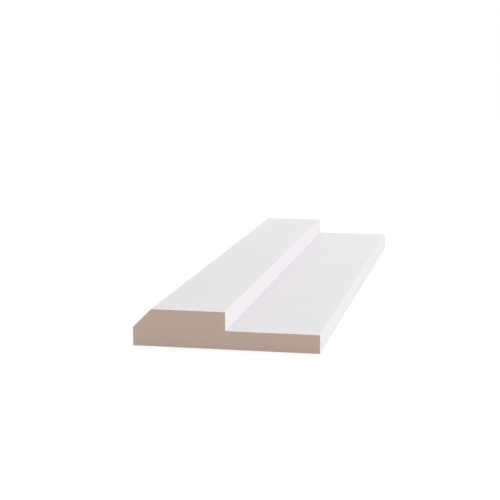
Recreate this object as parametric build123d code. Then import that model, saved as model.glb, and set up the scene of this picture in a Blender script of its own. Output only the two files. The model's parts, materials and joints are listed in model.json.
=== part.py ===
from build123d import *
import os

# A length of stepped moulding, run as one piece from 18 mm MDF and primed white, with raw, square-cut ends.
# One half stands proud as a raised band with a chamfered outer edge, and the other half is a thin flange.
#
# Frame: the origin is the middle of the flat back, which lies on Z = 0. X runs across the moulding, from
# the chamfered edge to the flange's edge, Y runs along its length, and Z points out of the back to the face.
# All sizes are in millimetres.

# Driving dimensions
LENGTH = 300.0            # from cut end to cut end
WIDTH = 90.0              # from the chamfered edge to the flange's edge
THICKNESS = 18.0          # from the back to the raised band's face
FLANGE_WIDTH = 45.0       # from the riser to the flange's edge
FLANGE_THICKNESS = 9.0    # from the back to the flange's face
CHAMFER_ACROSS = 9.0      # the chamfer's leg across the raised band's face
CHAMFER_DOWN = 9.0        # the chamfer's leg down the outer edge
FACE_ARRIS = 0.3          # radius of the eased edges on the face, where primer has to hold
BACK_ARRIS = 0.2          # radius of the eased edges on the back
INNER_CORNER = 0.2        # radius that the cutter leaves at the foot of the riser


def section():
    """The moulding's section: its straight runs, and the radius that joins them at each corner."""
    outer_edge = -WIDTH / 2
    flange_edge = WIDTH / 2
    riser = flange_edge - FLANGE_WIDTH
    corners = [
        ((outer_edge, 0), BACK_ARRIS),
        ((flange_edge, 0), BACK_ARRIS),
        ((flange_edge, FLANGE_THICKNESS), FACE_ARRIS),
        ((riser, FLANGE_THICKNESS), INNER_CORNER),
        ((riser, THICKNESS), FACE_ARRIS),
        ((outer_edge + CHAMFER_ACROSS, THICKNESS), FACE_ARRIS),
        ((outer_edge, THICKNESS - CHAMFER_DOWN), FACE_ARRIS),
    ]
    points, radii = zip(*corners)
    outline = FilletPolyline(*points, radius=radii, close=True)
    return make_face(outline)


def stepped_moulding():
    """The section, run half the length to each side of the middle."""
    return extrude(Plane.XZ * section(), amount=LENGTH / 2, both=True)


os.makedirs("parts", exist_ok=True)
export_step(stepped_moulding(), "parts/stepped_moulding.step")
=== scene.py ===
import json
import math

import bmesh
import bpy
from mathutils import Matrix, Vector


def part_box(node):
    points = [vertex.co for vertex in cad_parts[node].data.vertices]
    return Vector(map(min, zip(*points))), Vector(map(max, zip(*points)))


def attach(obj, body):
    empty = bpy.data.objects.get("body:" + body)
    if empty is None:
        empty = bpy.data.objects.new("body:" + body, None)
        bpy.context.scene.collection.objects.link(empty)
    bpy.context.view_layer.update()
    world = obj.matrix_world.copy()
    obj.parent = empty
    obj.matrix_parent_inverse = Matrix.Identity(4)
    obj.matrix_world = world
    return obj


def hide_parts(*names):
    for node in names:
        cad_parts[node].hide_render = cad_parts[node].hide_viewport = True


# A length of primed MDF moulding, lying on its flat back on a white floor under soft studio light.
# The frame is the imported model's, in metres: X runs across the moulding, from its chamfered edge to the
# flange's edge, Y runs along it, and Z points up, from the back to the face.
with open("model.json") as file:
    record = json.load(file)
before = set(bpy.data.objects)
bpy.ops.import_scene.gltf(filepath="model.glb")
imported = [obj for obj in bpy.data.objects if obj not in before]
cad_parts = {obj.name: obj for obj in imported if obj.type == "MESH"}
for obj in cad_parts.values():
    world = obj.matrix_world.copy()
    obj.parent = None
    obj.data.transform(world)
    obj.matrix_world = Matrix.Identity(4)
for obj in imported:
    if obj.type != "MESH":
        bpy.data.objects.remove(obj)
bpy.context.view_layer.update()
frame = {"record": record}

MM = 0.001

# The moulding's box, and the step in its section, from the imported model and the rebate's mount
NODE = "stepped_moulding"
LOW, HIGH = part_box(NODE)
SIZE = HIGH - LOW
REBATE_FLOOR = next(Vector(m["pos_m"]) for m in frame["record"]["mounts"] if m["name"] == "rebate_floor")
FLANGE_TOP = REBATE_FLOOR.z
RISER = 2 * REBATE_FLOOR.x - HIGH.x     # the mount is at the middle of the flange's face

# The section's edges
CHAMFER = 9.0 * MM              # each leg of the 45 degree chamfer
FACE_ARRIS = 0.3 * MM           # radius of the eased edges on the face
BACK_ARRIS = 0.2 * MM           # radius of the eased edges on the back
INNER_CORNER = 0.2 * MM         # radius that the cutter leaves at the foot of the riser
ARRIS_FACETS = 4                # facets that round each of them
DUBBED_STRIP = 2.5 * MM         # width beside a square arris where the light turns, as sanding dubs it over
PRIMER_FILM = 0.05 * MM         # the primer's thickness, a thin white line round each cut end
SQUARE_ON = 0.99                # least share of a face's normal along the axis that the face looks along

# The primer's finish
COAT_DRIFT = 40 * MM            # over which the coat's thickness drifts
DENIB_SPACING = 1.2 * MM        # between the lines that denibbing leaves along the run
DENIB_LENGTH = 90 * MM          # of one such line
DENIB_TONE = 0.008              # share by which a line is lighter or darker than the coat
RUBBED_ROUGHNESS = 0.74         # where denibbing rubbed the coat smooth
COAT_ROUGHNESS = 0.82           # where it didn't
PEEL_SIZE = 1.6 * MM            # orange peel, from crest to crest
PEEL_DEPTH = 0.06 * MM
RAISED_FIBRE_SIZE = 0.4 * MM    # fibres that the wet coat raised
RAISED_FIBRE_DEPTH = 0.03 * MM

# The raw MDF's finish
FIBRE_LENGTH = 2.5 * MM
FIBRE_THICKNESS = 0.35 * MM     # some 0.1 mm in real board, and drawn thicker so that it shows
FIBRE_DEPTH = 0.03 * MM
SPECK_CELL_LENGTH = 3.0 * MM    # the room that a speck of bark has in the board's plane
SPECK_CELL_HEIGHT = 1.2 * MM    # the room that it has through the board
SPECK_CORE = 0.06               # where a speck begins to fade, as a share of its cell
SPECK_RIM = 0.12                # where it ends
SPECK_TONE = 0.35               # share of the bark's colour in it
SPECK_CHOICE = 0.6              # a cell has a speck if its random shade is over this, as one in three is
HARD_FACE_TONE = 0.15           # share of the hard faces' colour at the board's two faces
SAW_SPACING = 1.5 * MM          # between the arcs that the saw leaves
SAW_DEPTH = 0.01 * MM
SAW_CENTRE = Vector((-30 * MM, 0, -130 * MM))   # the blade's centre, below the board

# A noise texture's values lie mostly between these
NOISE_LOW = 0.3
NOISE_HIGH = 0.7

# Sockets of a Mix node that mixes colours
FIRST_COLOUR = 6
SECOND_COLOUR = 7
MIXED_COLOUR = 2

# Camera, fitted to the corners of the moulding in the photograph
CAMERA_PLACE = (0.1329, -0.7452, 0.1525)
CAMERA_TURN = 11.486            # degrees, from +Y towards -X
CAMERA_TILT = 9.770             # degrees below level
CAMERA_ROLL = -0.133            # degrees, anticlockwise seen from behind the camera
CAMERA_LENS = 95.97             # focal length in millimetres
CAMERA_SENSOR = 36.0            # the sensor's width in millimetres

# Studio, with the softboxes' sizes in metres and their power in watts
AMBIENT = 0.85                  # light from all round, where 1 would light a colour as it is written
FLOOR_SIZE = 8.0
FLOOR_DROP = 0.05 * MM          # keeps the floor just clear of the moulding's back
FLOOR_LIFT = 0.67               # lifts the floor to white for the eye, and leaves the contact shadow
SOFTBOXES = {
    "far_softbox": {"place": (0.05, 1.2, 0.4), "width": 0.6, "height": 0.4, "power": 2.55},
    "flange_side_softbox": {"place": (1.5, -0.1, 0.25), "width": 1.2, "height": 0.4, "power": 6.7},
    "near_end_softbox": {"place": (0.1, -1.9, 0.25), "width": 1.2, "height": 0.4, "power": 7.3},
}


def linear(colour):
    """An sRGB colour in hex digits, as the linear colour that a shader takes."""
    shares = [int(colour[i:i + 2], 16) / 255 for i in (1, 3, 5)]
    levels = [s / 12.92 if s <= 0.04045 else ((s + 0.055) / 1.055) ** 2.4 for s in shares]
    return (*levels, 1.0)


def new_material(name):
    """A new material, with its node tree and its shader."""
    material = bpy.data.materials.new(name)
    material.use_nodes = True
    tree = material.node_tree
    return material, tree, tree.nodes["Principled BSDF"]


def node(tree, kind, inputs=None, **settings):
    """Adds a node with its settings. Each input is a value, or the output socket that feeds it."""
    made = tree.nodes.new(kind)
    for name, value in settings.items():
        setattr(made, name, value)
    for name, value in (inputs or {}).items():
        if isinstance(value, bpy.types.NodeSocket):
            tree.links.new(value, made.inputs[name])
        else:
            made.inputs[name].default_value = value
    return made


def sprayed_primer():
    """Acrylic primer, sprayed on machined MDF and cured: a cool, matt off-white.

    Up close the eye finds a soft orange peel, fibres that the wet coat raised, and faint lines along the
    run where the coat was denibbed. From arm's length it is one even white.
    """
    material, tree, shader = new_material("sprayed_acrylic_primer")
    place = node(tree, "ShaderNodeTexCoord").outputs["Object"]

    # The drift of the coat's thickness shows as a very slight change of white
    drift = node(tree, "ShaderNodeTexNoise", {"Vector": place, "Scale": 1 / COAT_DRIFT, "Detail": 2.0})
    white = node(tree, "ShaderNodeMix", {
        "Factor": drift.outputs["Fac"],
        FIRST_COLOUR: linear("#E5E2E5"),
        SECOND_COLOUR: linear("#E9E6E9"),
    }, data_type="RGBA")

    # The lines along the run are a little lighter or darker, and less matt where they were rubbed smooth
    run = node(tree, "ShaderNodeMapping", {
        "Vector": place,
        "Scale": (1 / DENIB_SPACING, 1 / DENIB_LENGTH, 1 / DENIB_SPACING),
    })
    lines = node(tree, "ShaderNodeTexNoise", {
        "Vector": run.outputs["Vector"],
        "Scale": 1.0,
        "Detail": 3.0,
    })
    tone = node(tree, "ShaderNodeMapRange", {
        "Value": lines.outputs["Fac"],
        "From Min": NOISE_LOW,
        "From Max": NOISE_HIGH,
        "To Min": 1 - DENIB_TONE,
        "To Max": 1 + DENIB_TONE,
    })
    toned = node(tree, "ShaderNodeMix", {
        "Factor": 1.0,
        FIRST_COLOUR: white.outputs[MIXED_COLOUR],
        SECOND_COLOUR: tone.outputs["Result"],
    }, data_type="RGBA", blend_type="MULTIPLY")
    tree.links.new(toned.outputs[MIXED_COLOUR], shader.inputs["Base Color"])
    roughness = node(tree, "ShaderNodeMapRange", {
        "Value": lines.outputs["Fac"],
        "From Min": NOISE_LOW,
        "From Max": NOISE_HIGH,
        "To Min": RUBBED_ROUGHNESS,
        "To Max": COAT_ROUGHNESS,
    })
    tree.links.new(roughness.outputs["Result"], shader.inputs["Roughness"])
    shader.inputs["IOR"].default_value = 1.5

    # Orange peel, with the raised fibres on it
    peel = node(tree, "ShaderNodeTexNoise", {"Vector": place, "Scale": 1 / PEEL_SIZE, "Detail": 1.0})
    peel_bump = node(tree, "ShaderNodeBump", {
        "Strength": 1.0,
        "Distance": PEEL_DEPTH,
        "Height": peel.outputs["Fac"],
    })
    fibres = node(tree, "ShaderNodeTexNoise", {
        "Vector": place,
        "Scale": 1 / RAISED_FIBRE_SIZE,
        "Detail": 2.0,
    })
    bump = node(tree, "ShaderNodeBump", {
        "Strength": 1.0,
        "Distance": RAISED_FIBRE_DEPTH,
        "Height": fibres.outputs["Fac"],
        "Normal": peel_bump.outputs["Normal"],
    })
    tree.links.new(bump.outputs["Normal"], shader.inputs["Normal"])
    return material


def sawn_mdf():
    """Raw MDF, cut across by a fine saw: a dry, matt brown of pressed fibre.

    The board is pressed harder at its two faces, so it is a little darker there. Short fibres lie in the
    board's plane and show as fine dashes, with a few dark specks, and the saw leaves faint arcs.
    """
    material, tree, shader = new_material("sawn_raw_mdf")
    place = node(tree, "ShaderNodeTexCoord").outputs["Object"]

    # Fibres, as fine dashes of two browns
    lie = node(tree, "ShaderNodeMapping", {
        "Vector": place,
        "Scale": (1 / FIBRE_LENGTH, 1 / FIBRE_LENGTH, 1 / FIBRE_THICKNESS),
    })
    fibres = node(tree, "ShaderNodeTexNoise", {
        "Vector": lie.outputs["Vector"],
        "Scale": 1.0,
        "Detail": 5.0,
    })
    fibre_share = node(tree, "ShaderNodeMapRange", {
        "Value": fibres.outputs["Fac"],
        "From Min": NOISE_LOW,
        "From Max": NOISE_HIGH,
    })
    brown = node(tree, "ShaderNodeMix", {
        "Factor": fibre_share.outputs["Result"],
        FIRST_COLOUR: linear("#B09B90"),
        SECOND_COLOUR: linear("#BAA59A"),
    }, data_type="RGBA")

    # Dark specks of bark, some 0.6 mm long and 0.25 mm thick
    cells = node(tree, "ShaderNodeMapping", {
        "Vector": place,
        "Scale": (1 / SPECK_CELL_LENGTH, 1 / SPECK_CELL_LENGTH, 1 / SPECK_CELL_HEIGHT),
    })
    specks = node(tree, "ShaderNodeTexVoronoi", {"Vector": cells.outputs["Vector"], "Scale": 1.0})
    speck_share = node(tree, "ShaderNodeMapRange", {
        "Value": specks.outputs["Distance"],
        "From Min": SPECK_CORE,
        "From Max": SPECK_RIM,
        "To Min": SPECK_TONE,
        "To Max": 0.0,
    })
    chosen = node(tree, "ShaderNodeMath", {
        0: specks.outputs["Color"],
        1: SPECK_CHOICE,
    }, operation="GREATER_THAN")
    few = node(tree, "ShaderNodeMath", {
        0: speck_share.outputs["Result"],
        1: chosen.outputs["Value"],
    }, operation="MULTIPLY")
    specked = node(tree, "ShaderNodeMix", {
        "Factor": few.outputs["Value"],
        FIRST_COLOUR: brown.outputs[MIXED_COLOUR],
        SECOND_COLOUR: linear("#8A7468"),
    }, data_type="RGBA")

    # The board's harder faces, over the outer sixth of its thickness on each side
    height = node(tree, "ShaderNodeSeparateXYZ", {"Vector": place}).outputs["Z"]
    from_middle = node(tree, "ShaderNodeMath", {0: height, 1: (LOW.z + HIGH.z) / 2}, operation="SUBTRACT")
    depth = node(tree, "ShaderNodeMath", {0: from_middle.outputs["Value"]}, operation="ABSOLUTE")
    hard = node(tree, "ShaderNodeMapRange", {
        "Value": depth.outputs["Value"],
        "From Min": SIZE.z / 2 - SIZE.z / 6,
        "From Max": SIZE.z / 2,
        "To Min": 0.0,
        "To Max": HARD_FACE_TONE,
    }, interpolation_type="SMOOTHSTEP")
    layered = node(tree, "ShaderNodeMix", {
        "Factor": hard.outputs["Result"],
        FIRST_COLOUR: specked.outputs[MIXED_COLOUR],
        SECOND_COLOUR: linear("#A28D81"),
    }, data_type="RGBA")
    tree.links.new(layered.outputs[MIXED_COLOUR], shader.inputs["Base Color"])
    shader.inputs["Roughness"].default_value = 0.85
    shader.inputs["IOR"].default_value = 1.45
    shader.inputs["Specular IOR Level"].default_value = 0.3

    # Saw arcs round the blade's centre, with the fibres' relief on them
    from_centre = node(tree, "ShaderNodeMapping", {"Vector": place, "Location": -SAW_CENTRE})
    apart = node(tree, "ShaderNodeSeparateXYZ", {"Vector": from_centre.outputs["Vector"]})
    flat = node(tree, "ShaderNodeCombineXYZ", {"X": apart.outputs["X"], "Z": apart.outputs["Z"]})
    radius = node(tree, "ShaderNodeVectorMath", {0: flat.outputs["Vector"]}, operation="LENGTH")
    turns = node(tree, "ShaderNodeMath", {
        0: radius.outputs["Value"],
        1: 2 * math.pi / SAW_SPACING,
    }, operation="MULTIPLY")
    arcs = node(tree, "ShaderNodeMath", {0: turns.outputs["Value"]}, operation="SINE")
    arcs_bump = node(tree, "ShaderNodeBump", {
        "Strength": 1.0,
        "Distance": SAW_DEPTH,
        "Height": arcs.outputs["Value"],
    })
    bump = node(tree, "ShaderNodeBump", {
        "Strength": 1.0,
        "Distance": FIBRE_DEPTH,
        "Height": fibres.outputs["Fac"],
        "Normal": arcs_bump.outputs["Normal"],
    })
    tree.links.new(bump.outputs["Normal"], shader.inputs["Normal"])
    return material


def select_only(kind, wanted):
    """In edit mode, selects only the edges or faces that the test accepts."""
    bpy.ops.mesh.select_mode(type=kind)
    bpy.ops.mesh.select_all(action="DESELECT")
    mesh = bmesh.from_edit_mesh(bpy.context.object.data)
    for element in mesh.edges if kind == "EDGE" else mesh.faces:
        if wanted(element):
            element.select_set(True)
    bmesh.update_edit_mesh(bpy.context.object.data)


def at(value, place):
    """Whether a coordinate is at that place, to a hundredth of a millimetre."""
    return abs(value - place) < 0.01 * MM


def runs_along(edge, x, z):
    """Whether an edge runs along the moulding at that place in its section."""
    return all(at(v.co.x, x) and at(v.co.z, z) for v in edge.verts)


def looks_up(face):
    """Whether a face looks straight up."""
    return face.normal.z > SQUARE_ON


def looks_to_flange_side(face):
    """Whether a face looks straight to the flange's side, as the riser does."""
    return face.normal.x > SQUARE_ON


def is_cut_end(face):
    """Whether a face is on one of the two cut ends."""
    return abs(face.normal.y) > SQUARE_ON


def flat_strip():
    """A plain strip as thick as the flange, from which the moulding is shaped."""
    bpy.ops.object.select_all(action="DESELECT")
    bpy.ops.mesh.primitive_cube_add(
        size=1,
        location=((LOW.x + HIGH.x) / 2, (LOW.y + HIGH.y) / 2, (LOW.z + FLANGE_TOP) / 2),
        scale=(SIZE.x, SIZE.y, FLANGE_TOP - LOW.z),
    )
    bpy.ops.object.transform_apply(location=True, rotation=True, scale=True)
    return bpy.context.object


def raised_band():
    """Draws the raised band up from the half of the strip that the riser bounds."""
    bpy.ops.mesh.select_all(action="SELECT")
    bpy.ops.mesh.bisect(plane_co=(RISER, 0, 0), plane_no=(1, 0, 0))
    select_only("FACE", lambda face: looks_up(face) and face.calc_center_median().x < RISER)
    bpy.ops.mesh.extrude_region_move(TRANSFORM_OT_translate={"value": (0, 0, HIGH.z - FLANGE_TOP)})
    bpy.ops.mesh.select_all(action="SELECT")
    bpy.ops.mesh.dissolve_limited(angle_limit=math.radians(1))


def chamfer_and_eased_edges():
    """Cuts the chamfer on the raised band's outer edge, then rounds every long edge of the section."""
    select_only("EDGE", lambda edge: runs_along(edge, LOW.x, HIGH.z))
    bpy.ops.mesh.bevel(offset=CHAMFER, segments=1, affect="EDGES")

    # Each edge's place in the section, its radius, and how far the surface turns there
    square = math.radians(90)
    half_square = math.radians(45)
    long_edges = [
        (LOW.x, LOW.z, BACK_ARRIS, square),
        (HIGH.x, LOW.z, BACK_ARRIS, square),
        (HIGH.x, FLANGE_TOP, FACE_ARRIS, square),
        (RISER, FLANGE_TOP, INNER_CORNER, square),
        (RISER, HIGH.z, FACE_ARRIS, square),
        (LOW.x + CHAMFER, HIGH.z, FACE_ARRIS, half_square),
        (LOW.x, HIGH.z - CHAMFER, FACE_ARRIS, half_square),
    ]
    for x, z, radius, turn in long_edges:
        select_only("EDGE", lambda edge: runs_along(edge, x, z))
        bpy.ops.mesh.bevel(offset=radius * math.tan(turn / 2), segments=ARRIS_FACETS, affect="EDGES")


def strips_beside_arrises():
    """Parts a strip from each face beside the two square arrises, to share the round edge's shading."""
    for x, z in ((RISER, HIGH.z), (HIGH.x, FLANGE_TOP)):
        select_only("FACE", lambda face: looks_up(face) and at(face.calc_center_median().z, z))
        bpy.ops.mesh.bisect(plane_co=(x - DUBBED_STRIP, 0, 0), plane_no=(1, 0, 0))
        select_only("FACE", lambda face: looks_to_flange_side(face) and at(face.calc_center_median().x, x))
        bpy.ops.mesh.bisect(plane_co=(0, 0, z - DUBBED_STRIP), plane_no=(0, 0, 1))


def raw_ends(piece, raw_mdf):
    """Makes the two cut ends raw MDF, within the edge of the primer's film."""
    select_only("FACE", is_cut_end)
    bpy.ops.mesh.inset(thickness=PRIMER_FILM, use_individual=True)
    piece.active_material_index = piece.data.materials.find(raw_mdf.name)
    bpy.ops.object.material_slot_assign()


def smooth_edges():
    """Makes the round edges and the strips beside them smooth to the eye. The wider faces stay flat.

    The borders between them are sharp, so that the cut ends don't turn the light on the strips.
    """
    bpy.ops.mesh.select_all(action="SELECT")
    bpy.ops.mesh.faces_shade_smooth()
    select_only("FACE", lambda face: face.calc_area() > DUBBED_STRIP * SIZE.y or is_cut_end(face))
    bpy.ops.mesh.faces_shade_flat()
    bpy.ops.mesh.region_to_loop()
    bpy.ops.mesh.mark_sharp()


def primed_moulding():
    """The moulding: one half raised, its outer edge chamfered, its long edges eased and its ends raw."""
    piece = flat_strip()
    piece.name = "primed_moulding"
    primer = sprayed_primer()
    raw_mdf = sawn_mdf()
    piece.data.materials.append(primer)
    piece.data.materials.append(raw_mdf)

    bpy.ops.object.mode_set(mode="EDIT")
    raised_band()
    chamfer_and_eased_edges()
    strips_beside_arrises()
    raw_ends(piece, raw_mdf)
    smooth_edges()
    bpy.ops.object.mode_set(mode="OBJECT")

    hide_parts(NODE)
    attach(piece, "root")


def seen_directly(tree):
    """1 for rays that show a surface to the eye, straight, mirrored or through glass, and 0 for light."""
    rays = node(tree, "ShaderNodeLightPath").outputs
    mirrored = node(tree, "ShaderNodeMath", {
        0: rays["Is Glossy Ray"],
        1: rays["Is Transmission Ray"],
    }, operation="MAXIMUM")
    return node(tree, "ShaderNodeMath", {
        0: rays["Is Camera Ray"],
        1: mirrored.outputs["Value"],
    }, operation="MAXIMUM").outputs["Value"]


def white_floor():
    """A matt white floor. To the eye it is lifted to plain white, with the contact shadow kept."""
    bpy.ops.object.select_all(action="DESELECT")
    bpy.ops.mesh.primitive_plane_add(size=FLOOR_SIZE, location=(0, 0, LOW.z - FLOOR_DROP))
    floor = bpy.context.object
    floor.name = "floor"
    material, tree, shader = new_material("matt_white_floor")
    shader.inputs["Roughness"].default_value = 1.0
    shader.inputs["Specular IOR Level"].default_value = 0.0
    shader.inputs["Emission Color"].default_value = linear("#FFFFFF")
    seen = seen_directly(tree)
    shade = node(tree, "ShaderNodeMix", {
        "Factor": seen,
        FIRST_COLOUR: linear("#E0E0E0"),
        SECOND_COLOUR: linear("#AAAAAA"),
    }, data_type="RGBA")
    tree.links.new(shade.outputs[MIXED_COLOUR], shader.inputs["Base Color"])
    lift = node(tree, "ShaderNodeMath", {0: seen, 1: FLOOR_LIFT}, operation="MULTIPLY")
    tree.links.new(lift.outputs["Value"], shader.inputs["Emission Strength"])
    floor.data.materials.append(material)


def white_surround():
    """Even light from all round, and plain white behind the floor for the eye."""
    world = bpy.data.worlds.new("white_surround")
    bpy.context.scene.world = world
    world.use_nodes = True
    tree = world.node_tree
    strength = node(tree, "ShaderNodeMapRange", {
        "Value": seen_directly(tree),
        "To Min": AMBIENT,
        "To Max": 1.0,
    })
    tree.links.new(strength.outputs["Result"], tree.nodes["Background"].inputs["Strength"])
    tree.nodes["Background"].inputs["Color"].default_value = linear("#FFFFFF")


def softbox(name, place, width, height, power):
    """A soft lamp that faces the moulding."""
    facing = (-Vector(place)).to_track_quat("-Z", "Y").to_euler()
    bpy.ops.object.light_add(type="AREA", location=place, rotation=facing)
    lamp = bpy.context.object
    lamp.name = name
    lamp.data.shape = "RECTANGLE"
    lamp.data.size = width
    lamp.data.size_y = height
    lamp.data.energy = power


def camera():
    """The photograph's camera, looking a little down along the moulding."""
    turn = Matrix.Rotation(math.radians(CAMERA_TURN), 3, "Z")
    tilt = Matrix.Rotation(math.radians(90 - CAMERA_TILT), 3, "X")
    roll = Matrix.Rotation(math.radians(CAMERA_ROLL), 3, "Z")
    bpy.ops.object.camera_add(location=CAMERA_PLACE, rotation=(turn @ tilt @ roll).to_euler())
    made = bpy.context.object
    made.data.lens = CAMERA_LENS
    made.data.sensor_width = CAMERA_SENSOR
    bpy.context.scene.camera = made


primed_moulding()
white_floor()
white_surround()
for name, settings in SOFTBOXES.items():
    softbox(name, **settings)
camera()
bpy.context.scene.view_settings.view_transform = "Standard"
